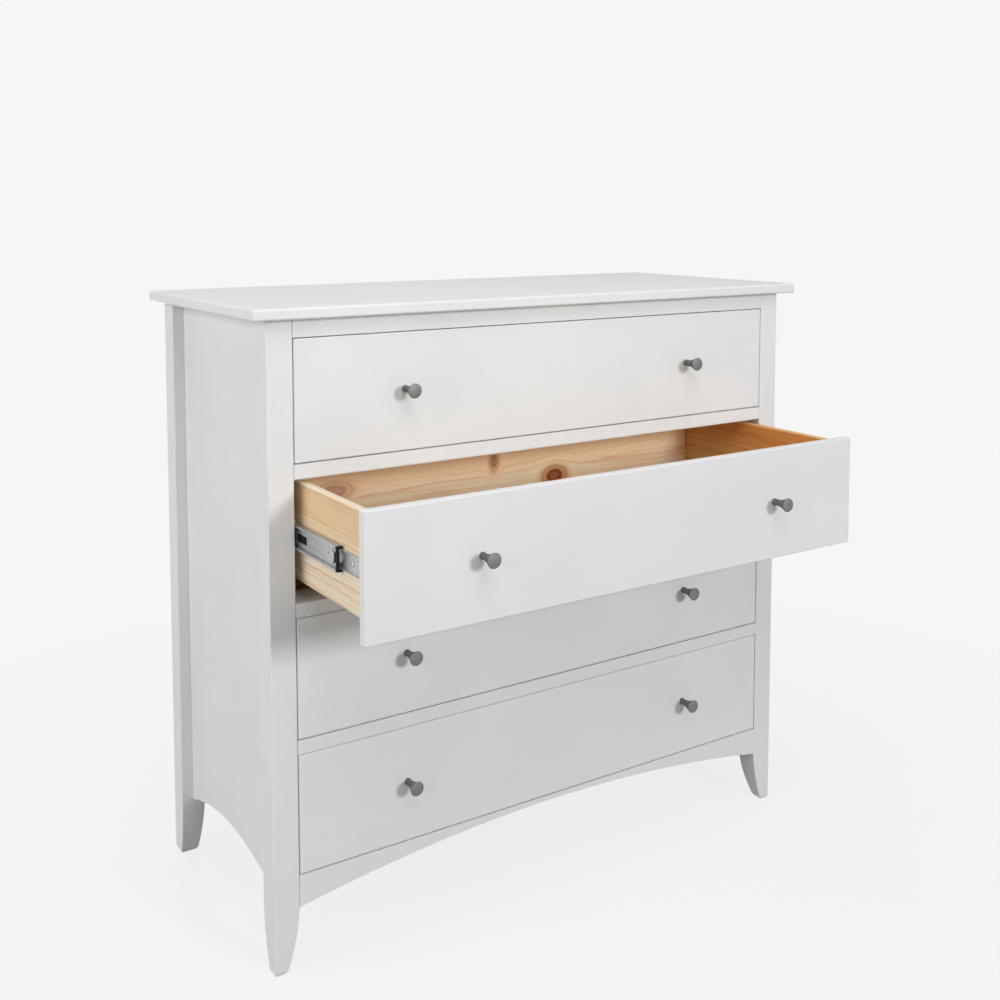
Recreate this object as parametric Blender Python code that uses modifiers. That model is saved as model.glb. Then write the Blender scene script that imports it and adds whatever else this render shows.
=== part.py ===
"""White painted chest of four drawers on tapered legs, its second drawer drawn open.

Lengths are metres and +Z is up. The front looks along -Y. The origin lies on the floor,
under the middle of the whole chest with its open drawer.
"""
import math

import bmesh
import bpy
from mathutils import Vector

# Carcass
WIDTH = 1.000                # over the outer faces of the legs
DEPTH = 0.440                # over the outer faces of the legs
LEG = 0.040                  # side of a square leg
FRONT_FOOT = 0.0196          # side of a front leg at the floor
BACK_LEG_FOOT = 0.0292       # side of a back leg at the floor
FOOT_ROUND = 0.0055          # rounding under a leg
FOOT_STEPS = 4               # straight steps that make up that rounding
TAPER_HEIGHT = 0.097         # height over which a leg tapers
TAPER_POWER = 1.75           # above 1 the taper bows outwards
TAPER_STEPS = 8              # straight steps that make up the bow
TOP_THICK = 0.017
TOP_SIDE_OVERHANG = 0.026
TOP_FRONT_OVERHANG = 0.021
TOP_ROUND = 0.0035           # rounding of the top's edges
PANEL_RECESS = 0.019         # side panel behind the outer faces of the legs
SIDE_ARCH_FOOT = 0.099       # floor to the ends of a side panel's arch
SIDE_ARCH_RISE = 0.033
APRON_THICK = 0.020
APRON_FOOT = 0.096           # floor to the ends of the apron's arch
APRON_RISE = 0.040
ARCH_STEPS = 24              # straight steps that make up an arch
BACK_THICK = 0.006
BACK_INSET = 0.004           # back panel in front of the legs' rear faces
BACK_FOOT = 0.110            # floor to the lower edge of the back panel
BACK_RAIL_THICK = 0.020
BACK_RAIL_HEIGHT = 0.040

# Drawer openings and the rails between them
DRAWERS = 4
OPEN_DRAWER = 2              # counted from the top
OPENING_HEIGHT = 0.182
LOWEST_OPENING = 0.144       # floor to the lowest opening
RAIL_HEIGHT = 0.021
RAIL_DEPTH = 0.060
RAIL_HANG = 0.006            # rear of a rail below its face, as a stop for the front
TOP_RAIL_HEIGHT = 0.027

# Drawers
FRONT_THICK = 0.016
FRONT_GAP = 0.0015           # shown round a closed front
SIDE_THICK = 0.012
BEHIND_BOX = 0.0114          # between the box of a closed drawer and the back rails
BOX_ABOVE = 0.028            # lowest point of the box above the opening's bottom
BOX_BELOW = 0.0075           # highest point of the box below the opening's top
BOTTOM_THICK = 0.005
BOTTOM_RISE = 0.010          # bottom panel above the lower edges of the sides
GROOVE = 0.006               # depth of the groove that holds the bottom panel

# Runners
RUNNER_LENGTH = 0.350
RUNNER_SETBACK = 0.020       # front ends of the closed runners behind the front plane
RUNNER_THICK = 0.0127        # between the carcass and the drawer
RUNNER_HEIGHT = 0.045
RUNNER_RISE = 0.006          # middle of a runner above the middle of its opening
RUNNER_SHEET = 0.0012
RUNNER_CLEAR = 0.0012        # cabinet and middle members short of the drawer's side
CABINET_FLANGE = 0.0042      # rolled edge of the cabinet member, ball track included
MIDDLE_FLANGE = 0.0039       # rolled edge of the middle member, ball track included
RUNNER_LIP = 0.0018          # rolled edge of the middle member proud of its web
OPEN_BY = 0.215              # how far the open drawer stands out
MIDDLE_SHARE = 0.7           # travel of a middle member for each unit of drawer travel

# Knobs
KNOB_SPREAD = 0.279          # from the middle of a front to each knob
KNOB_RISE = 0.004            # above the middle of the opening
KNOB_LENGTH = 0.0315
KNOB_RADIUS = 0.0112         # of the flared face
KNOB_BASE_RADIUS = 0.0056
KNOB_NECK_RADIUS = 0.0050
KNOB_NECK = 0.007            # from the base to the narrowest point
KNOB_FLARE_POWER = 1.7       # 1 is a straight cone from the neck to the face
KNOB_RIM = 0.0022            # thickness of the face's rounded rim
KNOB_DOME = 0.0012
KNOB_FLARE_STEPS = 7
KNOB_SIDES = 28

# Fits
GAP = 0.0003                 # between pieces that touch
EDGE = 0.0012                # softened edges of painted boards
FRONT_EDGE = 0.0015          # softened edges of the drawer fronts

FRONT_Y = (OPEN_BY + KNOB_LENGTH + GAP - DEPTH) / 2
BACK_Y = FRONT_Y + DEPTH
OPENING_HALF = WIDTH / 2 - LEG
PITCH = OPENING_HEIGHT + RAIL_HEIGHT
TOP_OF_OPENINGS = LOWEST_OPENING + DRAWERS * PITCH - RAIL_HEIGHT
UNDERSIDE = TOP_OF_OPENINGS + TOP_RAIL_HEIGHT
BOX_HALF = OPENING_HALF - RUNNER_THICK - 2 * GAP
BOX_HEIGHT = OPENING_HEIGHT - BOX_ABOVE - BOX_BELOW
BOX_FRONT = FRONT_THICK + GAP
BACK_RAIL_FACE = DEPTH - BACK_INSET - BACK_THICK - GAP - BACK_RAIL_THICK
BOX_BACK = BACK_RAIL_FACE - BEHIND_BOX
INNER_HALF = BOX_HALF - SIDE_THICK
INNER_BACK = BOX_BACK - SIDE_THICK
SIDES = {"left": -1, "right": 1}
ENDS = {"front": -1, "back": 1}
ALONG_Y = (math.pi / 2, 0, 0)             # outline in X and Z, thickness along Y
ALONG_X = (math.pi / 2, 0, math.pi / 2)   # outline in Y and Z, thickness along X


def fresh_collections():
    """Empty the scene, and add a collection for the pieces and one for their cutters."""
    for item in list(bpy.data.objects):
        bpy.data.objects.remove(item, do_unlink=True)
    pieces = bpy.data.collections.new("chest_of_drawers")
    tools = bpy.data.collections.new("cutters")
    for collection in (pieces, tools):
        bpy.context.scene.collection.children.link(collection)
    return pieces, tools


def finish(name, colour, roughness, metallic=0.0):
    """A plain surface finish."""
    surface = bpy.data.materials.new(name)
    surface.use_nodes = True
    shader = surface.node_tree.nodes["Principled BSDF"]
    shader.inputs["Base Color"].default_value = (*colour, 1.0)
    shader.inputs["Roughness"].default_value = roughness
    shader.inputs["Metallic"].default_value = metallic
    surface.diffuse_color = (*colour, 1.0)
    return surface


def place(name, data, surface, location, parent=None, rotation=(0, 0, 0)):
    """Put a shape among the pieces of the chest."""
    piece = bpy.data.objects.new(name, data)
    piece.location = location
    piece.rotation_euler = rotation
    piece.parent = parent
    data.materials.append(surface)
    PIECES.objects.link(piece)
    return piece


def soften(piece, width, segments=2):
    """Round the sharp edges of a piece."""
    bevel = piece.modifiers.new("soft_edges", "BEVEL")
    bevel.width = width
    bevel.segments = segments
    bevel.limit_method = "ANGLE"
    return piece


def box_mesh(name, size):
    """A box about its own middle."""
    shape = bmesh.new()
    bmesh.ops.create_cube(shape, size=1.0)
    bmesh.ops.scale(shape, vec=size, verts=shape.verts)
    mesh = bpy.data.meshes.new(name)
    shape.to_mesh(mesh)
    shape.free()
    return mesh


def board(name, low, high, surface, parent=None):
    """A straight board between two opposite corners."""
    low, high = Vector(low), Vector(high)
    return place(name, box_mesh(name, high - low), surface, (low + high) / 2, parent)


def cut(piece, low, high):
    """Cut a box-shaped space, given in the frame of the piece's parent, out of a piece."""
    low, high = Vector(low), Vector(high)
    name = f"{piece.name}_cut_{len(piece.modifiers) + 1}"
    cutter = bpy.data.objects.new(name, box_mesh(name, high - low))
    cutter.location = (low + high) / 2
    cutter.parent = piece.parent
    cutter.hide_render = True
    cutter.display_type = "WIRE"
    CUTTERS.objects.link(cutter)
    boolean = piece.modifiers.new(name, "BOOLEAN")
    boolean.operation = "DIFFERENCE"
    boolean.solver = "EXACT"
    boolean.object = cutter


def plate(name, outline, thickness, surface, location, rotation, parent=None):
    """A piece of even thickness cut to an outline."""
    curve = bpy.data.curves.new(name, "CURVE")
    curve.dimensions = "2D"
    curve.fill_mode = "BOTH"
    curve.extrude = thickness / 2
    spline = curve.splines.new("POLY")
    spline.points.add(len(outline) - 1)
    for point, (u, v) in zip(spline.points, outline):
        point.co = (u, v, 0, 1)
    spline.use_cyclic_u = True
    return place(name, curve, surface, location, parent, rotation)


def arched_outline(half, foot, rise, top):
    """An upright board from foot to top, its lower edge a flat circular arch."""
    radius = (half * half + rise * rise) / (2 * rise)
    centre = foot + rise - radius
    reach = math.asin(half / radius)
    outline = [(half, top), (-half, top)]
    for step in range(ARCH_STEPS + 1):
        angle = reach * (2 * step / ARCH_STEPS - 1)
        outline.append((radius * math.sin(angle), centre + radius * math.cos(angle)))
    return outline


def opening_bottom(number):
    """Height of the bottom of a drawer's opening, counted from the top."""
    return LOWEST_OPENING + (DRAWERS - number) * PITCH


def taper_share(height, foot):
    """Side of a leg at a height, as a share of its full side."""
    below = max(0.0, 1 - height / TAPER_HEIGHT)
    return 1 - (1 - foot / LEG) * below ** TAPER_POWER


def add_leg(end, side):
    """A square leg whose two inner faces bow in towards the foot."""
    name = f"leg_{end}_{side}"
    foot = FRONT_FOOT if end == "front" else BACK_LEG_FOOT
    height = UNDERSIDE - GAP
    shape = bmesh.new()
    bmesh.ops.create_cube(shape, size=1.0)
    bmesh.ops.translate(shape, vec=(0.5, 0.5, 0.5), verts=shape.verts)
    bmesh.ops.scale(shape, vec=(LEG, LEG, height), verts=shape.verts)
    for step in range(1, TAPER_STEPS + 1):
        level = TAPER_HEIGHT * step / TAPER_STEPS
        every = shape.verts[:] + shape.edges[:] + shape.faces[:]
        bmesh.ops.bisect_plane(shape, geom=every, plane_co=(0, 0, level), plane_no=(0, 0, 1))
    for vert in shape.verts:
        share = taper_share(vert.co.z, foot)
        vert.co.x *= -SIDES[side] * share
        vert.co.y *= -ENDS[end] * share
    shape.normal_update()
    bmesh.ops.recalc_face_normals(shape, faces=shape.faces)
    rim = [edge for edge in shape.edges if max(vert.co.z for vert in edge.verts) < GAP]
    bmesh.ops.bevel(shape, geom=rim, offset=FOOT_ROUND, segments=FOOT_STEPS, profile=0.5, affect="EDGES")
    mesh = bpy.data.meshes.new(name)
    shape.to_mesh(mesh)
    shape.free()
    corner_y = FRONT_Y if end == "front" else BACK_Y
    soften(place(name, mesh, PAINT, (SIDES[side] * WIDTH / 2, corner_y, 0)), EDGE)


def add_top():
    """The overhanging top board, flush with the legs at the back."""
    half = WIDTH / 2 + TOP_SIDE_OVERHANG
    low = (-half, FRONT_Y - TOP_FRONT_OVERHANG, UNDERSIDE)
    high = (half, BACK_Y, UNDERSIDE + TOP_THICK)
    soften(board("top_board", low, high, PAINT), TOP_ROUND, segments=3)


def add_side_panel(side):
    """A side panel between two legs, its inner face flush with theirs."""
    thickness = LEG - PANEL_RECESS
    middle = WIDTH / 2 - PANEL_RECESS - thickness / 2
    outline = arched_outline(DEPTH / 2 - LEG - GAP, SIDE_ARCH_FOOT, SIDE_ARCH_RISE, UNDERSIDE - GAP)
    place_at = (SIDES[side] * middle, (FRONT_Y + BACK_Y) / 2, 0)
    plate(f"side_panel_{side}", outline, thickness, PAINT, place_at, ALONG_X)


def add_rail(name, bottom, top):
    """A rail across the front, its rear part hanging lower to stop the drawer below."""
    step = FRONT_THICK + 2 * FRONT_GAP
    outline = [(0, bottom), (step, bottom), (step, bottom - RAIL_HANG),
               (RAIL_DEPTH, bottom - RAIL_HANG), (RAIL_DEPTH, top), (0, top)]
    plate(name, outline, 2 * (OPENING_HALF - GAP), PAINT, (0, FRONT_Y, 0), ALONG_X)


def add_front_frame():
    """The rails between the front legs, and the arched apron."""
    add_rail("top_rail", TOP_OF_OPENINGS, UNDERSIDE - GAP)
    for number in range(1, DRAWERS):
        top = opening_bottom(number)
        add_rail(f"divider_rail_{number}", top - RAIL_HEIGHT, top)
    outline = arched_outline(OPENING_HALF - GAP, APRON_FOOT, APRON_RISE, LOWEST_OPENING)
    plate("apron", outline, APRON_THICK, PAINT, (0, FRONT_Y + APRON_THICK / 2, 0), ALONG_Y)


def add_back():
    """The back panel between the rear legs, and the two rails it is fixed to."""
    half = OPENING_HALF - GAP
    rear = BACK_Y - BACK_INSET
    face = rear - BACK_THICK
    top = UNDERSIDE - GAP
    board("back_panel", (-half, face, BACK_FOOT), (half, rear, top), HARDBOARD)
    for name, low in (("upper", top - BACK_RAIL_HEIGHT), ("lower", BACK_FOOT)):
        corner = (half, face - GAP, low + BACK_RAIL_HEIGHT)
        board(f"back_rail_{name}", (-half, FRONT_Y + BACK_RAIL_FACE, low), corner, PINE)


def add_knob(number, side, drawer):
    """A turned knob that flares from its neck to a slightly domed face."""
    flare_end = KNOB_LENGTH - KNOB_DOME - KNOB_RIM
    profile = [(0, KNOB_LENGTH), (KNOB_RADIUS / 2, KNOB_LENGTH - KNOB_DOME / 4),
               (KNOB_RADIUS - KNOB_RIM / 2, KNOB_LENGTH - KNOB_DOME),
               (KNOB_RADIUS, KNOB_LENGTH - KNOB_DOME - KNOB_RIM / 2)]
    for step in range(KNOB_FLARE_STEPS + 1):
        share = 1 - step / KNOB_FLARE_STEPS
        radius = KNOB_NECK_RADIUS + (KNOB_RADIUS - KNOB_NECK_RADIUS) * share ** KNOB_FLARE_POWER
        profile.append((radius, KNOB_NECK + (flare_end - KNOB_NECK) * share))
    profile += [(KNOB_BASE_RADIUS, 0), (0, 0)]
    shape = bmesh.new()
    verts = [shape.verts.new((radius, 0, height)) for radius, height in profile]
    for upper, lower in zip(verts, verts[1:]):
        shape.edges.new((upper, lower))
    name = f"knob_{side}_{number}"
    mesh = bpy.data.meshes.new(name)
    shape.to_mesh(mesh)
    shape.free()
    seat = (SIDES[side] * KNOB_SPREAD, -GAP, OPENING_HEIGHT / 2 + KNOB_RISE)
    knob = place(name, mesh, NICKEL, seat, drawer, ALONG_Y)
    turn = knob.modifiers.new("turned", "SCREW")
    turn.axis = "Z"
    turn.steps = KNOB_SIDES
    turn.render_steps = KNOB_SIDES
    turn.use_merge_vertices = True
    turn.merge_threshold = 0.00001
    turn.use_normal_calculate = True


def add_drawer_boards(number, drawer):
    """The front, the glued box of sides and back, and the bottom panel in its groove."""
    front_half = OPENING_HALF - FRONT_GAP
    high = (front_half, FRONT_THICK, OPENING_HEIGHT - FRONT_GAP)
    low = (-front_half, 0, FRONT_GAP)
    soften(board(f"drawer_front_{number}", low, high, PAINT, drawer), FRONT_EDGE)

    past = SIDE_THICK
    base = BOX_ABOVE
    rim = BOX_ABOVE + BOX_HEIGHT
    corner = (BOX_HALF, BOX_BACK, rim)
    box = board(f"drawer_box_{number}", (-BOX_HALF, BOX_FRONT, base), corner, PINE, drawer)
    cut(box, (-INNER_HALF, BOX_FRONT - past, base - past), (INNER_HALF, INNER_BACK, rim + past))

    under = base + BOTTOM_RISE
    over = under + BOTTOM_THICK
    groove_half = INNER_HALF + GROOVE
    groove_back = INNER_BACK + GROOVE
    cut(box, (-groove_half, BOX_FRONT - past, under - GAP), (groove_half, groove_back, over + GAP))
    board(f"drawer_bottom_{number}", (-groove_half + GAP, BOX_FRONT, under),
          (groove_half - GAP, groove_back - GAP, over), PLYWOOD, drawer)


def channel_outline(near, far, web_near, web_far, height, flange):
    """Section of a rolled channel. The first number of a point runs from carcass to drawer."""
    top = height / 2
    lip = top - flange
    corners = [(near, -top), (far, -top), (far, -lip), (web_far, -lip), (web_far, lip), (far, lip),
               (far, top), (near, top), (near, lip), (web_near, lip), (web_near, -lip), (near, -lip)]
    return list(dict.fromkeys(corners))


def add_runner_member(name, outline, side, y, height, parent):
    """One member of a runner, on the inner face of the carcass or on a parent."""
    if side == "right":
        outline = [(-across, up) for across, up in reversed(outline)]
    seat = (SIDES[side] * OPENING_HALF, y + RUNNER_SETBACK + RUNNER_LENGTH / 2, height)
    plate(name, outline, RUNNER_LENGTH, ZINC, seat, ALONG_Y, parent)


def add_runner(number, side, drawer, slider):
    """A three-section runner: cabinet, middle and drawer members nested in each other."""
    far = GAP + RUNNER_THICK
    short = far - RUNNER_CLEAR
    cabinet = channel_outline(GAP, short, GAP, GAP + RUNNER_SHEET, RUNNER_HEIGHT, CABINET_FLANGE)

    near = 2 * GAP + RUNNER_SHEET
    web = near + RUNNER_LIP
    tall = RUNNER_HEIGHT - 2 * (CABINET_FLANGE + GAP)
    middle = channel_outline(near, short, web, web + RUNNER_SHEET, tall, MIDDLE_FLANGE)

    near = web + RUNNER_SHEET + GAP
    tall -= 2 * (MIDDLE_FLANGE + GAP)
    carried = channel_outline(near, far, far - RUNNER_SHEET, far, tall, RUNNER_SHEET)

    rise = OPENING_HEIGHT / 2 + RUNNER_RISE
    fixed_height = opening_bottom(number) + rise
    add_runner_member(f"runner_cabinet_{side}_{number}", cabinet, side, FRONT_Y, fixed_height, None)
    add_runner_member(f"runner_middle_{side}_{number}", middle, side, 0, rise, slider)
    add_runner_member(f"runner_drawer_{side}_{number}", carried, side, 0, rise, drawer)


def moving_frame(name, out, number):
    """An empty that carries what slides, on the middle of its opening's lower front edge."""
    frame = bpy.data.objects.new(name, None)
    frame.location = (0, FRONT_Y - out, opening_bottom(number))
    PIECES.objects.link(frame)
    return frame


def add_drawer(number):
    """A drawer with its knobs and its two runners."""
    out = OPEN_BY if number == OPEN_DRAWER else 0
    drawer = moving_frame(f"drawer_slide_{number}", out, number)
    slider = moving_frame(f"middle_slide_{number}", MIDDLE_SHARE * out, number)
    add_drawer_boards(number, drawer)
    for side in SIDES:
        add_knob(number, side, drawer)
        add_runner(number, side, drawer, slider)


PIECES, CUTTERS = fresh_collections()
PAINT = finish("white_satin_paint", (0.80, 0.80, 0.80), 0.45)
PINE = finish("lacquered_pine", (0.72, 0.50, 0.26), 0.50)
PLYWOOD = finish("pine_plywood", (0.70, 0.50, 0.28), 0.60)
HARDBOARD = finish("painted_hardboard", (0.78, 0.78, 0.77), 0.60)
ZINC = finish("zinc_plated_steel", (0.55, 0.56, 0.58), 0.35, 0.9)
NICKEL = finish("satin_nickel", (0.30, 0.30, 0.30), 0.38, 0.8)

add_top()
for side_name in SIDES:
    add_side_panel(side_name)
    for end_name in ENDS:
        add_leg(end_name, side_name)
add_front_frame()
add_back()
for drawer_number in range(1, DRAWERS + 1):
    add_drawer(drawer_number)
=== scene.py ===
"""Looks of a white painted chest of four drawers, its second drawer drawn open.

Lengths are metres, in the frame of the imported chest: +X to the right along the front, +Y from
front to back, +Z up.
"""
import math

import bmesh
import bpy
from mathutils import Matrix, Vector


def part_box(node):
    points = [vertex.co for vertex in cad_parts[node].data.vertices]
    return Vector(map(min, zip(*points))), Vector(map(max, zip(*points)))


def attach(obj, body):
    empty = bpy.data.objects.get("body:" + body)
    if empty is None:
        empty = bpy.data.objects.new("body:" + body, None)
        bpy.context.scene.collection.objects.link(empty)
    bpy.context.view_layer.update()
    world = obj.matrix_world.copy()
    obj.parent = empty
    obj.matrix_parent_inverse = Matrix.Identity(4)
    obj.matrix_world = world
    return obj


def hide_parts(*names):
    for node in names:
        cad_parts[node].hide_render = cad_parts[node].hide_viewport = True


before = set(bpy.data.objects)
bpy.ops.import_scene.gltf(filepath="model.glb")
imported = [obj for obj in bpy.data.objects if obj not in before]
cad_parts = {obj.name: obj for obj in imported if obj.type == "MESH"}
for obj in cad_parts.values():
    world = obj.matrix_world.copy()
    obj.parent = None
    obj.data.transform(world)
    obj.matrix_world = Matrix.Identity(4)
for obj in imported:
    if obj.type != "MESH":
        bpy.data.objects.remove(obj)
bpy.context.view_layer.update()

MM = 0.001
DRAWERS = (1, 2, 3, 4)
OPEN_DRAWER = 2
SIDES = ("left", "right")
PHOTO_SIZE = 1000            # pixels along each side of the photograph

# Camera, from the vanishing lines of the photograph
CAMERA_FROM_CORNER = Vector((-0.6556, -1.5940, 1.1198))   # from the foot of the front left leg
CAMERA_YAW = -33.28          # degrees, to the right of straight at the front
CAMERA_PITCH = 4.5           # degrees below the horizon
FOCAL_PIXELS = 1221.3
EYE_LINE_PIXEL = 302.6       # photograph row of the optical axis
SENSOR = 36.0

# Studio
SURROUND = "#f6f6f4"
AMBIENT = 0.20               # share of the surround's light that reaches the chest
FLOOR_REACH = 30.0
FLOOR_THICK = 0.01
FLOOR_FADE = (0.6, 1.6)      # metres from the middle over which the shadow dies away
FLOOR_PLAIN = 0.86           # share of plain surround colour in the floor under the chest
# Place, aim, size and power of each soft box
LAMPS = {
    "key": ((1.1, -4.9, 2.05), (0.0, 0.0, 0.65), 1.0, 116.0),
    "over_front": ((-0.5, -1.4, 2.6), (-0.1, 0.0, 0.7), 1.4, 17.5),
    "over_top": ((0.0, 0.5, 2.9), (0.0, 0.1, 0.97), 1.4, 9.0),
    "left_side": ((-3.4, 0.3, 1.5), (-0.4, 0.1, 0.6), 1.8, 42.0),
    "left_front": ((-3.0, -1.6, 1.6), (-0.4, 0.0, 0.6), 1.5, 17.0),
    "right_side": ((3.4, 0.9, 0.45), (0.4, 0.1, 0.5), 1.0, 24.0),
    "behind": ((0.6, 4.0, 0.45), (0.0, 0.3, 0.5), 0.8, 85.0),
}

# Softened edges
TOP_ROUND = 3.5 * MM
FRONT_ROUND = 1.8 * MM
BOARD_ROUND = 1.5 * MM
SOFT_EDGE = 1.0 * MM
FLAT_ANGLE = 0.5             # degrees: faces this close to one plane become one
EDGE_ANGLE = 40              # degrees: edges sharper than this are eased

# Back panel
PIN_INSET = 18 * MM
PIN_SPACING = 90 * MM
PIN_PROFILE = ((0, 0.5), (1.4, 0.4), (2.2, 0), (2.0, -0.6), (0, -0.6))   # radius and height, mm
PIN_SIDES = 16

# Legs
FOOT_SHARE = {"front": 0.49, "back": 0.73}   # side of a leg at the floor over its full side
TAPER_HEIGHT = 97 * MM
TAPER_POWER = 1.75
TAPER_STEPS = 24
FOOT_ROUND = 8 * MM          # under the two inner faces
FOOT_EASE = 5.5 * MM         # under the two outer faces
FOOT_STEPS = 8

# Knobs
KNOB_FACE = 11.2 * MM        # radius
KNOB_RIM = 1.4 * MM
KNOB_DOME = 0.8 * MM
KNOB_NECK = 5.0 * MM         # radius
KNOB_NECK_AT = 7.0 * MM
KNOB_BASE = 5.6 * MM         # radius
KNOB_FLARE_POWER = 1.7
KNOB_BASE_POWER = 1.5
FACE_STEPS, RIM_STEPS, FLARE_STEPS, BASE_STEPS = 4, 5, 16, 6

# Screws: radius and height of the head, and shares of those for the cross recess
KNOB_SCREW = (4.2 * MM, 2.6 * MM)
RUNNER_SCREW = (3.4 * MM, 1.8 * MM)
SCREW_EDGE = 0.35            # straight part of a head's height
SCREW_STEPS = 6
SCREW_SIDES = 30             # so that no facet edge meets an inner corner of the recess
RECESS_REACH, RECESS_HALF, RECESS_FLOOR = 0.62, 0.13, 0.45

# Drawer boxes
BOX_BOARD = 12 * MM
GROOVE_DEPTH = 6 * MM
GROOVE_CLEAR = 0.3 * MM
BOARD_FACE = 144.5 * MM      # height of a board's face, below its rounded upper edge

# Pine
GRAIN_SHIFT = 0.7            # metres by which the grain can differ from board to board
RING_SPACING = 17 * MM
RING_DRIFT = 100 * MM        # how far the rings wander up and down a board
HEART_DRIFT = 90 * MM
HEARTWOOD = (95 * MM, 185 * MM)   # drifting height at which heartwood starts, and is full
# Knots of the open drawer's back: along the board, up, radius, how far drawn out, strength
KNOTS = ((0.314, 0.057, 11 * MM, 1.4, 1.0), (0.4445, 0.098, 10 * MM, 0.6, 0.8),
         (0.752, 0.084, 9 * MM, 2.2, 0.65))
KNOT_PULL = (0.0, 4.5, -0.9)  # radii between which the grain's parting dies away, and its share
KNOT_FADE = (1.2, 3.0)        # radii between which a knot's colour dies away
KNOT_REACH = 4                # radii covered by the rings below
# Colours outwards from the middle of a knot: heart, dark rim, pale wood and one more ring
KNOT_RINGS = ((0.0, "#a85e2a"), (0.15, "#a05420"), (0.22, "#6a2a08"), (0.29, "#c07c42"),
              (0.36, "#e0aa6e"), (0.42, "#b06c36"), (0.50, "#dba468"))

# Runners
SHEET = 1.2 * MM
CABINET_LIP = 4.2 * MM       # height of the rolled edge of a cabinet member
MIDDLE_LIP = 3.9 * MM        # height of the rolled edge of a middle member
WEB_RECESS = 4.2 * MM        # web of a middle member behind its rolled edges
RACE_DEPTH = 1.4 * MM        # ball race beside each rolled edge, behind the web
RACE_HEIGHT = 1.8 * MM
FLANGE_SHORT = 3.9 * MM      # flanges of a drawer member clear of that race
LIP_FILLET = 0.8 * MM
MIDDLE_FILLET = 1.7 * MM
DRAWER_FILLET = 0.3 * MM
HOLE_SIDES = 20
# Cuts in the web, in mm behind the member's front end and above its middle
MIDDLE_SLOTS = ((103, 34, -6, 12), (16, 2.4, -13, 6.5), (16, 2.4, 6.5, 6.5),
                (250, 30, -4, 8))                             # front, length, lower edge, height
MIDDLE_HOLES = ((31, 2, 1.5), (150, 0, 2.4), (200, 0, 2.4))   # along, up, radius
LATCH_AT, LATCH_LONG, LATCH_HALF, LATCH_STEPS = 16.2, 10, 8.5, 12
DRAWER_LANCE = ((12, -5), (17, -5), (17, -3), (14, -3), (14, 5), (12, 5))
DRAWER_HOLE = (5, 0, 1.6)    # along, up, radius
RUNNER_SCREWS_AT = (34 * MM, 160 * MM, 300 * MM)
RETAINER_RUN = (98 * MM, 240 * MM)       # from and to, behind the front end
RETAINER_DEPTH = (0.1 * MM, 0.9 * MM)    # from and to, behind the web
RETAINER_HALF = 9 * MM
RETAINER_ROUND = 0.3 * MM

# Bumpers
BUMPER_INSET = 3 * MM        # rear of the bumper behind the front end of a middle member
BUMPER_SEAT = 0.15 * MM      # between the bumper and the sheet behind it
BUMPER_BACK = 0.4 * MM       # clear of the member's carcass-side face
BUMPER_SHY = 0.5 * MM        # inside the member's other faces
BUMPER_STEP = 0.3 * MM       # arms of the bumper thinner than the rolled edges
BUMPER_LENGTH = 4 * MM
BUMPER_NOSE = 2 * MM
NOSE_SHARE = 0.62            # height of the nose over the height of the bumper
BUMPER_WALL = 3.4 * MM
BUMPER_ROUND = 0.5 * MM


def linear(code):
    """Linear colour of an sRGB hex code."""
    parts = [int(code[at:at + 2], 16) / 255 for at in (1, 3, 5)]
    return (*(part / 12.92 if part <= 0.04045 else ((part + 0.055) / 1.055) ** 2.4
              for part in parts), 1.0)


def add(tree, kind, out, links=None, stops=(), **settings):
    """Add a node and give its output socket. A link is a socket to join or a value to set."""
    made = tree.nodes.new(kind)
    for key, value in settings.items():
        setattr(made, key, value)
    for key, value in (links or {}).items():
        if isinstance(value, bpy.types.NodeSocket):
            tree.links.new(value, made.inputs[key])
        else:
            made.inputs[key].default_value = value
    for index, (position, code) in enumerate(stops):
        band = made.color_ramp.elements
        stop = band[index] if index < len(band) else band.new(1.0)
        stop.position = position
        stop.color = linear(code)
    return made.outputs[out]


def surface(name, **constants):
    """A new material with its tree and shader. An underscore in a constant's name is a space."""
    made = bpy.data.materials.new(name)
    made.use_nodes = True
    shader = made.node_tree.nodes["Principled BSDF"]
    for key, value in constants.items():
        shader.inputs[key.replace("_", " ")].default_value = value
    return made, made.node_tree, shader


def drawn_out(tree, place, along, across, detail=3.0):
    """Noise drawn out along X: feature length and width in metres."""
    scale = (1 / along, 1 / across, 1 / across)
    stretched = add(tree, "ShaderNodeMapping", "Vector", {"Vector": place, "Scale": scale})
    links = {"Vector": stretched, "Scale": 1.0, "Detail": detail}
    return add(tree, "ShaderNodeTexNoise", "Fac", links)


def satin_paint(name, light, dark, roughness):
    """Sprayed satin paint on sanded wood: almost even, with faint orange peel and a soft sheen."""
    made, tree, shader = surface(name, IOR=1.5)
    place = add(tree, "ShaderNodeTexCoord", "Object")
    broad = {"Vector": place, "Scale": 1 / (180 * MM), "Detail": 3.0}
    clouds = add(tree, "ShaderNodeTexNoise", "Fac", broad)
    tones = ((0.35, dark), (0.65, light))
    colour = add(tree, "ShaderNodeValToRGB", "Color", {"Fac": clouds}, stops=tones)
    tree.links.new(colour, shader.inputs["Base Color"])
    span = {"Value": clouds, "To Min": roughness - 0.04, "To Max": roughness + 0.05}
    tree.links.new(add(tree, "ShaderNodeMapRange", "Result", span), shader.inputs["Roughness"])
    # Orange peel is about 1.5 mm across on sprayed furniture. It is drawn at 3 mm to show.
    fine = {"Vector": place, "Scale": 1 / (3 * MM), "Detail": 2.0}
    peel = add(tree, "ShaderNodeTexNoise", "Fac", fine)
    relief = {"Height": peel, "Strength": 0.06, "Distance": 0.1 * MM}
    tree.links.new(add(tree, "ShaderNodeBump", "Normal", relief), shader.inputs["Normal"])
    return made


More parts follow.
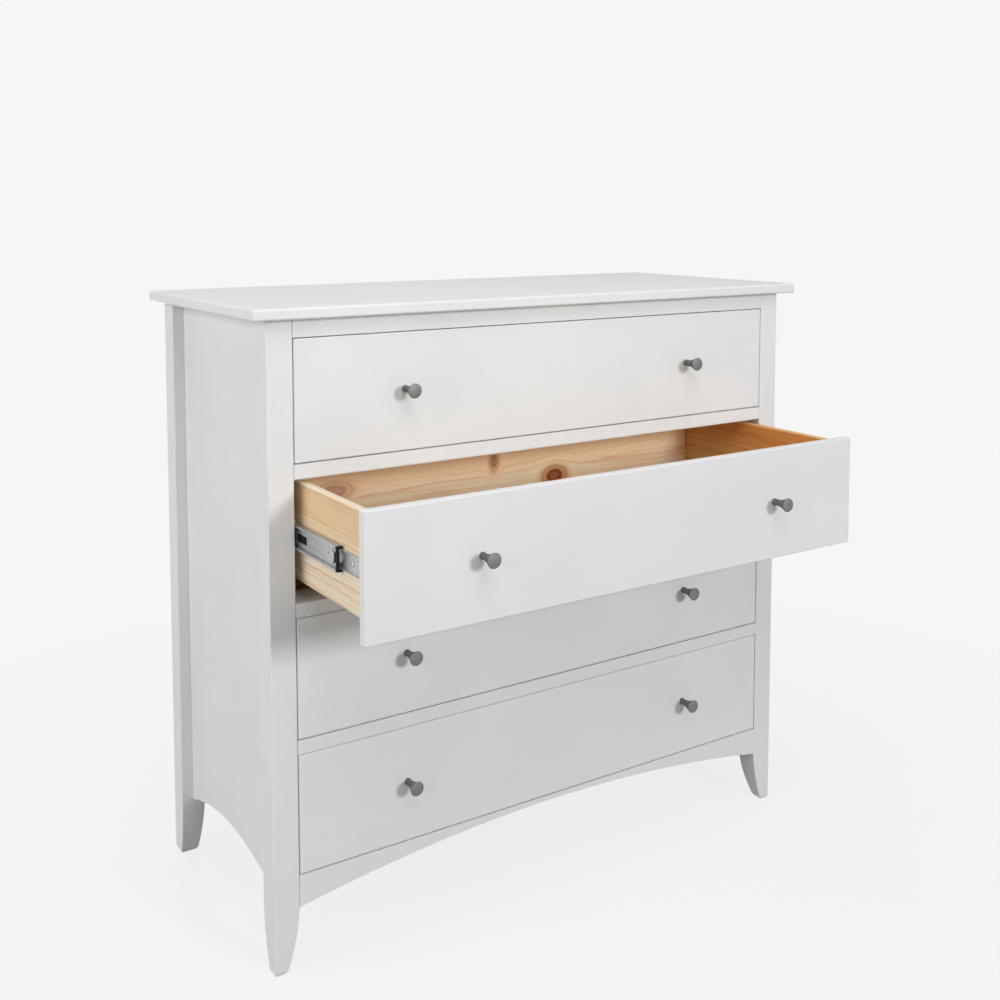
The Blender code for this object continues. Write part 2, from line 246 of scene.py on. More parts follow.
def knot_marks(tree, along, up, knot):
    """How a knot parts the grain, how much of its colour shows, and that colour, ring by ring.

    A knot is its place along the board, its height, its radius, how far it is drawn out along the
    board and how strong its colour is.
    """
    at, height, radius, drawn, strong = knot
    away = add(tree, "ShaderNodeMath", "Value", {0: along, 1: at}, operation="SUBTRACT")
    above = add(tree, "ShaderNodeMath", "Value", {0: up, 1: height}, operation="SUBTRACT")
    flat = add(tree, "ShaderNodeCombineXYZ", "Vector", {"X": away, "Y": above})
    evened = {0: flat, 1: (1 / drawn, 1, 0)}
    even = add(tree, "ShaderNodeVectorMath", "Vector", evened, operation="MULTIPLY")
    distance = add(tree, "ShaderNodeVectorMath", "Value", {0: even}, operation="LENGTH")
    marks = []
    for near, far, most in (KNOT_PULL, (*KNOT_FADE, strong)):
        span = {"Value": distance, "From Min": near * radius, "From Max": far * radius,
                "To Min": most, "To Max": 0.0}
        mark = add(tree, "ShaderNodeMapRange", "Result", span, interpolation_type="SMOOTHSTEP")
        marks.append(mark)
    radii = {0: distance, 1: KNOT_REACH * radius}
    out = add(tree, "ShaderNodeMath", "Value", radii, operation="DIVIDE")
    rings = add(tree, "ShaderNodeValToRGB", "Color", {"Fac": out}, stops=KNOT_RINGS)
    return above, *marks, rings


def lacquered_pine(name, pale, warm, streak, heartwood, knots=()):
    """Planed pine under thin clear lacquer: growth rings along X, fine fibres, and knots.

    The upper edge of a board is heartwood, of a deeper colour, all but its rounded top, which is
    kept pale as a painted highlight of light from above.
    """
    made, tree, shader = surface(name, Roughness=0.46, IOR=1.5)
    place = add(tree, "ShaderNodeTexCoord", "Object")
    along, through, up = add(tree, "ShaderNodeSeparateXYZ", "X", {"Vector": place}).node.outputs
    bent = up
    marks = []
    for knot in knots:
        above, pull, share, rings = knot_marks(tree, along, up, knot)
        parted = {0: above, 1: pull, 2: bent}
        bent = add(tree, "ShaderNodeMath", "Value", parted, operation="MULTIPLY_ADD")
        marks.append((share, rings))
    turn = add(tree, "ShaderNodeObjectInfo", "Random")
    shifted = {0: turn, 1: GRAIN_SHIFT, 2: bent}
    own = add(tree, "ShaderNodeMath", "Value", shifted, operation="MULTIPLY_ADD")
    flow = add(tree, "ShaderNodeCombineXYZ", "Vector", {"X": along, "Y": through, "Z": own})
    drift = drawn_out(tree, flow, 800 * MM, 45 * MM)
    # Growth rings cut lengthwise lie 3 to 20 mm apart. The drift bunches and spreads them.
    drifting = {0: drift, 1: RING_DRIFT, 2: own}
    wander = add(tree, "ShaderNodeMath", "Value", drifting, operation="MULTIPLY_ADD")
    count = add(tree, "ShaderNodeMath", "Value", {0: wander, 1: RING_SPACING}, operation="DIVIDE")
    ring = add(tree, "ShaderNodeMath", "Value", {0: count}, operation="FRACT")
    late = ((0.0, "#000000"), (0.25, "#000000"), (0.70, "#6f6f6f"), (0.90, "#ffffff"),
            (1.0, "#000000"))
    band = add(tree, "ShaderNodeValToRGB", "Color", {"Fac": ring}, stops=late)
    cloud = drawn_out(tree, flow, 600 * MM, 30 * MM)
    span = {"Value": cloud, "From Min": 0.36, "From Max": 0.66, "To Min": 0.15, "To Max": 0.75}
    figure = add(tree, "ShaderNodeMapRange", "Result", span)
    drifting = {0: drift, 1: HEART_DRIFT, 2: bent}
    edge = add(tree, "ShaderNodeMath", "Value", drifting, operation="MULTIPLY_ADD")
    start, full = HEARTWOOD
    span = {"Value": edge, "From Min": start, "From Max": full, "To Min": 0.0, "To Max": 0.8}
    deep = add(tree, "ShaderNodeMapRange", "Result", span, interpolation_type="SMOOTHSTEP")
    # The rounded top edge keeps the pale colour: a painted highlight of light falling from above.
    below = add(tree, "ShaderNodeMath", "Value", {0: up, 1: BOARD_FACE}, operation="LESS_THAN")
    upper = add(tree, "ShaderNodeMath", "Value", {0: deep, 1: below}, operation="MULTIPLY")
    # Fibres are about 0.1 mm wide. They are drawn at 0.9 mm to show.
    fibres = drawn_out(tree, flow, 60 * MM, 0.9 * MM)
    threads = drawn_out(tree, flow, 420 * MM, 2.4 * MM)
    span = {"Value": threads, "From Min": 0.48, "From Max": 0.72, "To Min": 0.0, "To Max": 0.8}
    lines = add(tree, "ShaderNodeMapRange", "Result", span)
    late_share = add(tree, "ShaderNodeMath", "Value", {0: band, 1: figure}, operation="MULTIPLY")
    faint = add(tree, "ShaderNodeMath", "Value", {0: fibres, 1: 0.16}, operation="MULTIPLY")
    colour = linear(pale)
    shares = ((upper, heartwood), (late_share, streak), (lines, warm), (faint, streak))
    for share, shade in [(share, linear(code)) for share, code in shares] + marks:
        mixed = {"Factor": share, "A": colour, "B": shade}
        colour = add(tree, "ShaderNodeMix", "Result", mixed, data_type="RGBA")
    tree.links.new(colour, shader.inputs["Base Color"])
    relief = {"Height": fibres, "Strength": 0.12, "Distance": 0.15 * MM}
    tree.links.new(add(tree, "ShaderNodeBump", "Normal", relief), shader.inputs["Normal"])
    return made


def zinc_plated_steel():
    """Rolled strip under dull zinc: fine lines along the roll and a cloudy spangle."""
    made, tree, shader = surface("zinc_plated_steel", Metallic=1.0)
    place = add(tree, "ShaderNodeTexCoord", "Object")
    across, along, up = add(tree, "ShaderNodeSeparateXYZ", "X", {"Vector": place}).node.outputs
    rolled = add(tree, "ShaderNodeCombineXYZ", "Vector", {"X": along, "Y": across, "Z": up})
    lines = drawn_out(tree, rolled, 60 * MM, 0.8 * MM)
    flakes = {"Vector": rolled, "Scale": 1 / (4 * MM)}
    spangle = add(tree, "ShaderNodeTexVoronoi", "Distance", flakes)
    both = {0: spangle, 1: 0.5, 2: lines}
    mottle = add(tree, "ShaderNodeMath", "Value", both, operation="MULTIPLY_ADD")
    tones = ((0.35, "#a7abad"), (0.95, "#c1c4c5"))
    colour = add(tree, "ShaderNodeValToRGB", "Color", {"Fac": mottle}, stops=tones)
    tree.links.new(colour, shader.inputs["Base Color"])
    span = {"Value": mottle, "To Min": 0.34, "To Max": 0.50}
    tree.links.new(add(tree, "ShaderNodeMapRange", "Result", span), shader.inputs["Roughness"])
    return made


def satin_nickel():
    """Turned and tumbled zinc under satin nickel: mid grey with a fine grit."""
    made, tree, shader = surface("satin_nickel", Metallic=1.0)
    place = add(tree, "ShaderNodeTexCoord", "Object")
    fine = {"Vector": place, "Scale": 1 / (1.2 * MM), "Detail": 4.0}
    grit = add(tree, "ShaderNodeTexNoise", "Fac", fine)
    tones = ((0.3, "#716f6e"), (0.7, "#7d7c7b"))
    colour = add(tree, "ShaderNodeValToRGB", "Color", {"Fac": grit}, stops=tones)
    tree.links.new(colour, shader.inputs["Base Color"])
    span = {"Value": grit, "To Min": 0.50, "To Max": 0.62}
    tree.links.new(add(tree, "ShaderNodeMapRange", "Result", span), shader.inputs["Roughness"])
    return made


def moulded_nylon():
    """Black moulded nylon with a fine spark-eroded texture."""
    made, tree, shader = surface("black_moulded_nylon", Roughness=0.65, IOR=1.3)
    place = add(tree, "ShaderNodeTexCoord", "Object")
    fine = {"Vector": place, "Scale": 1 / (0.6 * MM), "Detail": 2.0}
    grit = add(tree, "ShaderNodeTexNoise", "Fac", fine)
    tones = ((0.3, "#121213"), (0.7, "#1b1b1c"))
    colour = add(tree, "ShaderNodeValToRGB", "Color", {"Fac": grit}, stops=tones)
    tree.links.new(colour, shader.inputs["Base Color"])
    relief = {"Height": grit, "Strength": 0.2, "Distance": 0.05 * MM}
    tree.links.new(add(tree, "ShaderNodeBump", "Normal", relief), shader.inputs["Normal"])
    return made


PAINT = satin_paint("satin_white_paint", "#ebebec", "#e7e7e8", 0.42)
BACKING = satin_paint("primed_hardboard", "#e5e5e4", "#e2e2e1", 0.62)
PINE = lacquered_pine("lacquered_pine", "#f6ead2", "#e0b57c", "#cd9656", "#ebc798")
# Lighter pine than the sides, painted light for the light that reaches into the open drawer. The
# knots are the board's own.
KNOTTY_LIT_PINE = lacquered_pine("knotty_pine_with_painted_light", "#fff2da", "#f6d0a2", "#e8b580", "#f5b670",
                             KNOTS)
# Deeper, more orange pine for the open drawer's right side: painted shade of its shaded inside face
# and corner.
SHADED_PINE = lacquered_pine("pine_with_painted_shade", "#e6b878", "#cc8238", "#b86c28", "#c97830")
PLY = lacquered_pine("pine_plywood", "#f6e3bf", "#e6c48f", "#dcb57f", "#eacb9a")
ZINC = zinc_plated_steel()
NICKEL = satin_nickel()
NYLON = moulded_nylon()


def as_object(name, shape, smooth=False):
    """A piece from a finished bmesh."""
    mesh = bpy.data.meshes.new(name)
    shape.to_mesh(mesh)
    shape.free()
    for face in mesh.polygons:
        face.use_smooth = smooth
    piece = bpy.data.objects.new(name, mesh)
    bpy.context.scene.collection.objects.link(piece)
    return piece


def soften(piece, width, segments=3):
    """Round the sharp edges of a piece."""
    bevel = piece.modifiers.new("soft_edges", "BEVEL")
    bevel.width = width
    bevel.segments = segments
    bevel.limit_method = "ANGLE"
    bevel.harden_normals = True
    for face in piece.data.polygons:
        face.use_smooth = True
    return piece


def prism(name, outline, run):
    """A closed body swept straight along run from a flat outline."""
    shape = bmesh.new()
    face = shape.faces.new([shape.verts.new(point) for point in outline])
    swept = bmesh.ops.extrude_face_region(shape, geom=[face])
    far = [item for item in swept["geom"] if isinstance(item, bmesh.types.BMVert)]
    bmesh.ops.translate(shape, vec=run, verts=far)
    shape.normal_update()
    bmesh.ops.recalc_face_normals(shape, faces=shape.faces)
    return as_object(name, shape)


def block(name, low, high):
    """A straight body between two opposite corners."""
    (x0, y0, z0), (x1, y1, z1) = low, high
    return prism(name, [(x0, y0, z0), (x1, y0, z0), (x1, y1, z0), (x0, y1, z0)], (0, 0, z1 - z0))


def turned(name, profile, sides=64):
    """A body turned about Z from (radius, height) points."""
    shape = bmesh.new()
    line = [shape.verts.new((radius, 0, height)) for radius, height in profile]
    edges = [shape.edges.new(pair) for pair in zip(line, line[1:])]
    bmesh.ops.spin(shape, geom=line + edges, axis=(0, 0, 1), cent=(0, 0, 0), steps=sides,
                   angle=2 * math.pi)
    bmesh.ops.remove_doubles(shape, verts=shape.verts, dist=0.01 * MM)
    shape.normal_update()
    bmesh.ops.recalc_face_normals(shape, faces=shape.faces)
    return as_object(name, shape, smooth=True)


def carve(piece, tools):
    """Cut the tools out of a piece, then take the tools away."""
    for tool in tools:
        cutting = piece.modifiers.new("cut", "BOOLEAN")
        cutting.solver = "EXACT"
        cutting.object = tool
    shown = piece.evaluated_get(bpy.context.evaluated_depsgraph_get())
    piece.data = bpy.data.meshes.new_from_object(shown)
    piece.modifiers.clear()
    for tool in tools:
        bpy.data.objects.remove(tool)
    return piece


def joined(name, pieces, smooth):
    """Several bodies as one piece."""
    bpy.context.view_layer.update()
    shape = bmesh.new()
    graph = bpy.context.evaluated_depsgraph_get()
    for piece in pieces:
        shown = bpy.data.meshes.new_from_object(piece.evaluated_get(graph))
        shown.transform(piece.matrix_world)
        shape.from_mesh(shown)
        bpy.data.objects.remove(piece)
    return as_object(name, shape, smooth)


def filleted(outline, radius, steps=3):
    """A flat outline of (a, b) points with its corners rounded."""
    made = []
    for index, corner in enumerate(outline):
        here = Vector(corner)
        before = Vector(outline[index - 1]) - here
        after = Vector(outline[(index + 1) % len(outline)]) - here
        cut = min(radius, before.length / 2.1, after.length / 2.1)
        start = here + before.normalized() * cut
        end = here + after.normalized() * cut
        for step in range(steps + 1):
            share = step / steps
            rest = 1 - share
            made.append(rest ** 2 * start + 2 * share * rest * here + share ** 2 * end)
    return made


def finish_with(piece, material):
    """Give a piece its material."""
    piece.data.materials.clear()
    piece.data.materials.append(material)


def on_body(piece, body, *nodes):
    """Let a piece ride on a body, and stand for CAD nodes where it does."""
    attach(piece, body)
    if nodes:
        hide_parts(*nodes)


def dress_cad_board(node, material):
    """A board that keeps its CAD shape, with its edges eased."""
    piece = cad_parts[node]
    flat = piece.modifiers.new("flat_faces", "DECIMATE")
    flat.decimate_type = "DISSOLVE"
    flat.angle_limit = math.radians(FLAT_ANGLE)
    ease = piece.modifiers.new("eased_edges", "BEVEL")
    ease.width = SOFT_EDGE
    ease.segments = 2
    ease.limit_method = "ANGLE"
    ease.angle_limit = math.radians(EDGE_ANGLE)
    finish_with(piece, material)


def make_carcass():
    """Top, legs, panels, rails, apron and back."""
    top = block("top", *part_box("top_board"))
    finish_with(soften(top, TOP_ROUND, 6), PAINT)
    on_body(top, "carcass", "top_board")
    for side in SIDES:
        dress_cad_board(f"side_panel_{side}", PAINT)
        for end in FOOT_SHARE:
            make_leg(end, side)
    rails = ["top_rail", "apron"] + [f"divider_rail_{number}" for number in DRAWERS[:-1]]
    for node in rails:
        dress_cad_board(node, PAINT)
    dress_cad_board("back_panel", BACKING)
    for level in ("upper", "lower"):
        dress_cad_board(f"back_rail_{level}", PINE)
    make_panel_pins()


def make_leg(end, side):
    """A square leg whose two inner faces bow in towards a rounded foot."""
    node = f"leg_{end}_{side}"
    low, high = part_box(node)
    outer = Vector((low.x if side == "left" else high.x, low.y if end == "front" else high.y))
    inner = Vector((high.x if side == "left" else low.x, high.y if end == "front" else low.y))
    inward = Vector((math.copysign(1, inner.x - outer.x), math.copysign(1, inner.y - outer.y)))
    levels = []
    for step in range(FOOT_STEPS):
        angle = math.pi / 2 * step / FOOT_STEPS
        levels.append((FOOT_ROUND * (1 - math.cos(angle)), 1 - math.sin(angle)))
    for step in range(TAPER_STEPS + 1):
        levels.append((FOOT_ROUND + (TAPER_HEIGHT - FOOT_ROUND) * step / TAPER_STEPS, 0.0))
    levels.append((high.z, 0.0))
    shape = bmesh.new()
    rings = []
    for level, inset in levels:
        below = max(0.0, 1 - level / TAPER_HEIGHT)
        share = 1 - (1 - FOOT_SHARE[end]) * below ** TAPER_POWER
        far = outer + (inner - outer) * share - inward * FOOT_ROUND * inset
        near = outer + inward * FOOT_EASE * inset
        corners = ((near.x, near.y), (far.x, near.y), (far.x, far.y), (near.x, far.y))
        rings.append([shape.verts.new((x, y, level)) for x, y in corners])
    for lower, upper in zip(rings, rings[1:]):
        for at in range(4):
            shape.faces.new((lower[at], lower[(at + 1) % 4], upper[(at + 1) % 4], upper[at]))
    shape.faces.new(rings[0])
    shape.faces.new(rings[-1])
    shape.normal_update()
    bmesh.ops.recalc_face_normals(shape, faces=shape.faces)
    piece = as_object(f"{end}_{side}_leg", shape)
    finish_with(soften(piece, BOARD_ROUND), PAINT)
    on_body(piece, "carcass", node)


def make_panel_pins():
    """Steel pins that hold the back panel to the two back rails."""
    low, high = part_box("back_panel")
    length = high.x - low.x - 2 * PIN_INSET
    count = int(length // PIN_SPACING)
    profile = [(radius * MM, height * MM) for radius, height in PIN_PROFILE]
    heads = []
    for level in (low.z + PIN_INSET, high.z - PIN_INSET):
        for index in range(count + 1):
            head = turned("pin", profile, PIN_SIDES)
            head.rotation_euler.x = -math.pi / 2
            head.location = (low.x + PIN_INSET + length * index / count, high.y, level)
            heads.append(head)
    pins = joined("back_panel_pins", heads, smooth=True)
    finish_with(pins, ZINC)
    on_body(pins, "carcass")


def knob_profile(length):
    """Profile of a flared knob, from the middle of its face to the middle of its base."""
    points = []
    flat = KNOB_FACE - KNOB_RIM
    for step in range(FACE_STEPS + 1):
        share = step / FACE_STEPS
        points.append((flat * share, length - KNOB_DOME * share * share))
    rim_at = length - KNOB_DOME - KNOB_RIM
    for step in range(1, RIM_STEPS + 1):
        angle = math.pi / 2 * step / RIM_STEPS
        points.append((flat + KNOB_RIM * math.sin(angle), rim_at + KNOB_RIM * math.cos(angle)))
    for step in range(1, FLARE_STEPS + 1):
        share = 1 - step / FLARE_STEPS
        radius = KNOB_NECK + (KNOB_FACE - KNOB_NECK) * share ** KNOB_FLARE_POWER
        points.append((radius, KNOB_NECK_AT + (rim_at - KNOB_NECK_AT) * share))
    for step in range(1, BASE_STEPS + 1):
        share = step / BASE_STEPS
        radius = KNOB_NECK + (KNOB_BASE - KNOB_NECK) * share ** KNOB_BASE_POWER
        points.append((radius, KNOB_NECK_AT * (1 - share)))
    return points + [(0, 0)]


def make_knob(number, side):
    """A turned knob, and the machine screw that holds it from inside the drawer."""
    node = f"knob_{side}_{number}"
    low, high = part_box(node)
    middle = (low + high) / 2
    knob = turned(f"flared_knob_{side}_{number}", knob_profile(high.y - low.y))
    knob.rotation_euler.x = math.pi / 2
    knob.location = (middle.x, high.y, middle.z)
    finish_with(knob, NICKEL)
    on_body(knob, f"drawer_{number}", node)
    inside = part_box(f"drawer_front_{number}")[1].y
    screw = screw_head(f"knob_screw_{side}_{number}", *KNOB_SCREW)
    screw.rotation_euler.x = -math.pi / 2
    screw.location = (middle.x, inside, middle.z)
    finish_with(screw, ZINC)
    on_body(screw, f"drawer_{number}")


def screw_head(name, radius, height):
    """A pan head with a cross recess, standing on Z = 0."""
    profile = [(0, height)]
    for step in range(1, SCREW_STEPS + 1):
        angle = math.pi / 2 * step / SCREW_STEPS
        share = SCREW_EDGE + (1 - SCREW_EDGE) * math.cos(angle)
        profile.append((radius * math.sin(angle), height * share))
    head = turned(name, profile + [(radius, 0), (0, 0)], SCREW_SIDES)
    reach, half, floor = radius * RECESS_REACH, radius * RECESS_HALF, height * RECESS_FLOOR
    arm = [(reach, -half), (reach, half), (half, half)]
    cross = []
    for _ in range(4):
        cross += [(x, y, floor) for x, y in arm]
        arm = [(-y, x) for x, y in arm]
    return carve(head, [prism("recess", cross, (0, 0, height))])


def pine_board(name, start, length, height, turn, groove):
    """A board along its own X with a groove in its far face, turned about Z and put at start."""
    inner, deep = BOX_BOARD, BOX_BOARD - GROOVE_DEPTH
    outline = [(0, 0, 0), (0, inner, 0), (0, inner, groove[0]), (0, deep, groove[0]),
               (0, deep, groove[1]), (0, inner, groove[1]), (0, inner, height), (0, 0, height)]
    board = prism(name, outline, (length, 0, 0))
    board.location = start
    board.rotation_euler.z = turn
    return soften(board, BOARD_ROUND)


def make_drawer(number):
    """Front, two sides, back, bottom and knobs of a drawer."""
    body = f"drawer_{number}"
    front = block(f"painted_front_{number}", *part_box(f"drawer_front_{number}"))
    finish_with(soften(front, FRONT_ROUND, 4), PAINT)
    on_body(front, body, f"drawer_front_{number}")
    low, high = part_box(f"drawer_box_{number}")
    bottom_low, bottom_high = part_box(f"drawer_bottom_{number}")
    groove = (bottom_low.z - low.z - GROOVE_CLEAR, bottom_high.z - low.z + GROOVE_CLEAR)
    size = high - low
    across = size.x - 2 * BOX_BOARD
    # The open drawer has a knotty back in lighter pine, painted light for the light inside the
    # drawer, and a right side in darker pine, painted shade. The others are guessed plain.
    back, right = (KNOTTY_LIT_PINE, SHADED_PINE) if number == OPEN_DRAWER else (PINE, PINE)
    boards = {
        "side_left": ((low.x, high.y, low.z), size.y, -math.pi / 2, PINE),
        "side_right": ((high.x, low.y, low.z), size.y, math.pi / 2, right),
        "back": ((high.x - BOX_BOARD, high.y, low.z), across, math.pi, back),
    }
    for name, (start, length, turn, material) in boards.items():
        board = pine_board(f"drawer_{name}_{number}", start, length, size.z, turn, groove)
        finish_with(board, material)
        on_body(board, body, f"drawer_box_{number}")
    dress_cad_board(f"drawer_bottom_{number}", PLY)
    for side in SIDES:
        make_knob(number, side)


def make_runner(number, side):
    """Cabinet, middle and drawer members of a runner, with bumper and screws."""
    make_cabinet_member(number, side)
    make_middle_member(number, side)
    make_drawer_member(number, side)


def carcass_face(side, node):
    """Carcass-side face of a runner member, and the direction from there to the drawer."""
    low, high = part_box(node)
    return (low.x, 1) if side == "left" else (high.x, -1)


def channel(name, node, side, flange, web_at, fillet, short=0.0, race=0.0, trim=0.0):
    """A rolled channel in the box of a CAD node, cut short by trim at its front end.

    The lengths web_at, short and race run from the carcass side.
    """
    low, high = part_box(node)
    face, inward = carcass_face(side, node)
    wide, top = high.x - low.x, (high.z - low.z) / 2
    middle, lip = (low.z + high.z) / 2, top - flange
    near, far, web = web_at + race, web_at + race + SHEET, lip - RACE_HEIGHT
    upper = [(far, lip), (wide, lip), (wide, top), (short, top), (short, lip), (near, lip)]
    if race:
        upper = [(far - race, web), (far, web)] + upper + [(near, web), (near - race, web)]
    lower = [(across, -up) for across, up in reversed(upper)]
    rounded = filleted(list(dict.fromkeys(upper + lower)), fillet)
    outline = [(face + inward * point[0], low.y + trim, middle + point[1]) for point in rounded]
    return prism(name, outline, (0, high.y - low.y - trim, 0))


def make_cabinet_member(number, side):
    """The channel screwed to the side of the carcass."""
    node = f"runner_cabinet_{side}_{number}"
    piece = channel(f"cabinet_member_{side}_{number}", node, side, CABINET_LIP, 0, LIP_FILLET)
    finish_with(piece, ZINC)
    on_body(piece, "carcass", node)


def make_middle_member(number, side):
    """The channel between the two others: slots, latch window, pin holes and a plastic bumper."""
    node = f"runner_middle_{side}_{number}"
    low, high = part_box(node)
    face, inward = carcass_face(side, node)
    middle = (low.z + high.z) / 2
    piece = channel(f"middle_member_{side}_{number}", node, side, MIDDLE_LIP, WEB_RECESS,
                    MIDDLE_FILLET, race=RACE_DEPTH, trim=BUMPER_INSET)
    through = sorted((face, face + inward * (WEB_RECESS + 3 * SHEET)))
    tools = []
    for start, length, bottom, tall in MIDDLE_SLOTS:
        lower = (through[0], low.y + start * MM, middle + bottom * MM)
        upper = (through[1], low.y + (start + length) * MM, middle + (bottom + tall) * MM)
        tools.append(block("slot", lower, upper))
    turns = [math.pi * (step / LATCH_STEPS - 0.5) for step in range(LATCH_STEPS + 1)]
    latch = [(LATCH_AT - LATCH_LONG * math.cos(turn), LATCH_HALF * math.sin(turn))
             for turn in turns]
    for outline in [latch] + [round_hole(*hole) for hole in MIDDLE_HOLES]:
        tools.append(web_cutter(through, low.y, middle, outline))
    finish_with(carve(piece, tools), ZINC)
    on_body(piece, f"runner_middle_{number}", node)
    # The nylon ball retainer that shows through the long slot
    behind = WEB_RECESS + RACE_DEPTH + SHEET
    near, far = sorted(face + inward * (behind + depth) for depth in RETAINER_DEPTH)
    front, rear = (low.y + along for along in RETAINER_RUN)
    retainer = block(f"ball_retainer_{side}_{number}", (near, front, middle - RETAINER_HALF),
                     (far, rear, middle + RETAINER_HALF))
    finish_with(soften(retainer, RETAINER_ROUND, 2), NYLON)
    on_body(retainer, f"runner_middle_{number}")
    make_bumper(number, side, node)


def round_hole(along, up, radius):
    """Outline of a round hole."""
    turns = [2 * math.pi * step / HOLE_SIDES for step in range(HOLE_SIDES)]
    return [(along + radius * math.cos(turn), up + radius * math.sin(turn)) for turn in turns]


def web_cutter(through, front, middle, outline):
    """Cutter through a runner's web, from (millimetres behind the front end, millimetres up)."""
    points = [(through[0], front + along * MM, middle + up * MM) for along, up in outline]
    return prism("cutter", points, (through[1] - through[0], 0, 0))


def make_bumper(number, side, node):
    """The black end stop round the front end of a middle member, with a stepped nose."""
    low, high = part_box(node)
    face, inward = carcass_face(side, node)
    middle, half = (low.z + high.z) / 2, (high.z - low.z) / 2
    wide, clear = high.x - low.x - BUMPER_SHY, half - MIDDLE_LIP + BUMPER_STEP
    top = half - BUMPER_SHY
    inner = BUMPER_BACK + BUMPER_WALL
    corners = [(BUMPER_BACK, -top), (wide, -top), (wide, -clear), (inner, -clear), (inner, clear),
               (wide, clear), (wide, top), (BUMPER_BACK, top)]
    end = low.y + BUMPER_INSET - BUMPER_SEAT
    outline = [(face + inward * across, end, middle + up) for across, up in corners]
    cap = prism("cap", outline, (0, -BUMPER_LENGTH, 0))
    near, far = sorted((face + inward * BUMPER_BACK, face + inward * inner))
    nose_low = (near, end - BUMPER_LENGTH - BUMPER_NOSE, middle - NOSE_SHARE * top)
    nose = block("nose", nose_low, (far, end - BUMPER_LENGTH, middle + NOSE_SHARE * top))
    parts = [soften(cap, BUMPER_ROUND, 2), soften(nose, BUMPER_ROUND, 2)]
    bumper = joined(f"runner_bumper_{side}_{number}", parts, smooth=False)
    finish_with(bumper, NYLON)
    on_body(bumper, f"runner_middle_{number}")


def make_drawer_member(number, side):
    """The narrow channel screwed to the drawer's side, with its lance, hole and screws."""
    node = f"runner_drawer_{side}_{number}"
    low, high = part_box(node)
    face, inward = carcass_face(side, node)
    middle, wide = (low.z + high.z) / 2, high.x - low.x
    piece = channel(f"drawer_member_{side}_{number}", node, side, SHEET, wide - SHEET,
                    DRAWER_FILLET, FLANGE_SHORT)
    web = face + inward * (wide - SHEET)
    through = sorted((web - inward * SHEET, web + inward * 3 * SHEET))
    outlines = (DRAWER_LANCE, round_hole(*DRAWER_HOLE))
    tools = [web_cutter(through, low.y, middle, outline) for outline in outlines]
    finish_with(carve(piece, tools), ZINC)
    on_body(piece, f"drawer_{number}", node)
    for index, along in enumerate(RUNNER_SCREWS_AT):
        screw = screw_head(f"runner_screw_{side}_{number}_{index}", *RUNNER_SCREW)
        screw.rotation_euler.y = -inward * math.pi / 2
        screw.location = (web, low.y + along, middle)
        finish_with(screw, ZINC)
        on_body(screw, f"drawer_{number}")


def seen_directly(tree):
    """1 for what is seen straight, in a mirror or through glass, and 0 for light that bounces."""
    path = add(tree, "ShaderNodeLightPath", "Is Camera Ray").node.outputs
    first = {0: path["Is Camera Ray"], 1: path["Is Glossy Ray"]}
    shiny = add(tree, "ShaderNodeMath", "Value", first, operation="MAXIMUM")
    both = {0: shiny, 1: path["Is Transmission Ray"]}
    return add(tree, "ShaderNodeMath", "Value", both, operation="MAXIMUM")


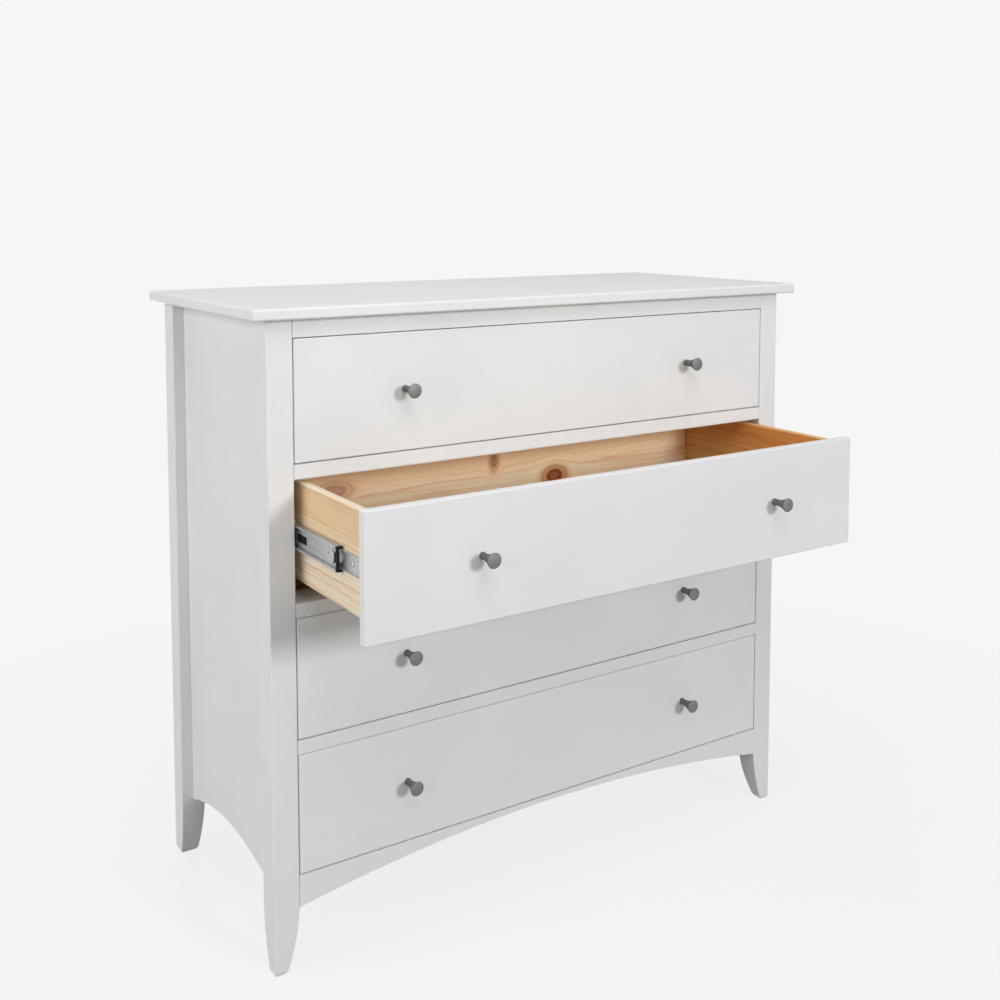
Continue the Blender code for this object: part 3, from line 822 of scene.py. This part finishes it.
def make_floor():
    """A wide pale floor that keeps the chest's shadow."""
    far_corner = (FLOOR_REACH, FLOOR_REACH, 0)
    floor = block("floor", (-FLOOR_REACH, -FLOOR_REACH, -FLOOR_THICK), far_corner)
    made, tree, shader = surface("pale_studio_floor", Roughness=0.9)
    seen = seen_directly(tree)
    tones = ((0.0, "#8e8e8d"), (1.0, "#f2f2f0"))
    colour = add(tree, "ShaderNodeValToRGB", "Color", {"Fac": seen}, stops=tones)
    tree.links.new(colour, shader.inputs["Base Color"])
    place = add(tree, "ShaderNodeTexCoord", "Object")
    away = add(tree, "ShaderNodeVectorMath", "Value", {0: place}, operation="LENGTH")
    near, far = FLOOR_FADE
    span = {"Value": away, "From Min": near, "From Max": far, "To Min": FLOOR_PLAIN, "To Max": 1.0}
    plain = add(tree, "ShaderNodeMapRange", "Result", span)
    share = add(tree, "ShaderNodeMath", "Value", {0: seen, 1: plain}, operation="MULTIPLY")
    glow = add(tree, "ShaderNodeEmission", "Emission", {"Color": linear(SURROUND), "Strength": 1.0})
    both = {"Fac": share, 1: shader.outputs["BSDF"], 2: glow}
    shown = add(tree, "ShaderNodeMixShader", "Shader", both)
    tree.links.new(shown, tree.nodes["Material Output"].inputs["Surface"])
    floor.data.materials.append(made)


def make_surround():
    """A plain pale room that lights the chest evenly."""
    world = bpy.data.worlds.new("pale_studio")
    bpy.context.scene.world = world
    world.use_nodes = True
    tree = world.node_tree
    span = {"Value": seen_directly(tree), "To Min": AMBIENT, "To Max": 1.0}
    shade = tree.nodes["Background"]
    shade.inputs["Color"].default_value = linear(SURROUND)
    tree.links.new(add(tree, "ShaderNodeMapRange", "Result", span), shade.inputs["Strength"])


def make_lights():
    """Soft boxes: a key, two overhead, two at the left, and low ones at the right and behind."""
    for name, (place, aim, size, power) in LAMPS.items():
        lamp = bpy.data.lights.new(name, "AREA")
        lamp.size = size
        lamp.energy = power
        holder = bpy.data.objects.new(name, lamp)
        holder.location = place
        holder.rotation_euler = (Vector(aim) - Vector(place)).to_track_quat("-Z", "Y").to_euler()
        bpy.context.scene.collection.objects.link(holder)


def make_camera():
    """A camera at the photograph's place, with its frame let down as the photograph's is."""
    low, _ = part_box("leg_front_left")
    lens = bpy.data.cameras.new("photo_camera")
    lens.sensor_width = SENSOR
    lens.lens = FOCAL_PIXELS * SENSOR / PHOTO_SIZE
    lens.shift_y = (EYE_LINE_PIXEL - PHOTO_SIZE / 2) / PHOTO_SIZE
    camera = bpy.data.objects.new("photo_camera", lens)
    camera.location = Vector((low.x, low.y, 0)) + CAMERA_FROM_CORNER
    camera.rotation_euler = (math.radians(90 - CAMERA_PITCH), 0, math.radians(CAMERA_YAW))
    bpy.context.scene.collection.objects.link(camera)
    bpy.context.scene.camera = camera


make_carcass()
for drawer_number in DRAWERS:
    make_drawer(drawer_number)
    for side_name in SIDES:
        make_runner(drawer_number, side_name)
make_floor()
make_surround()
make_lights()
make_camera()
bpy.context.scene.view_settings.view_transform = "Standard"
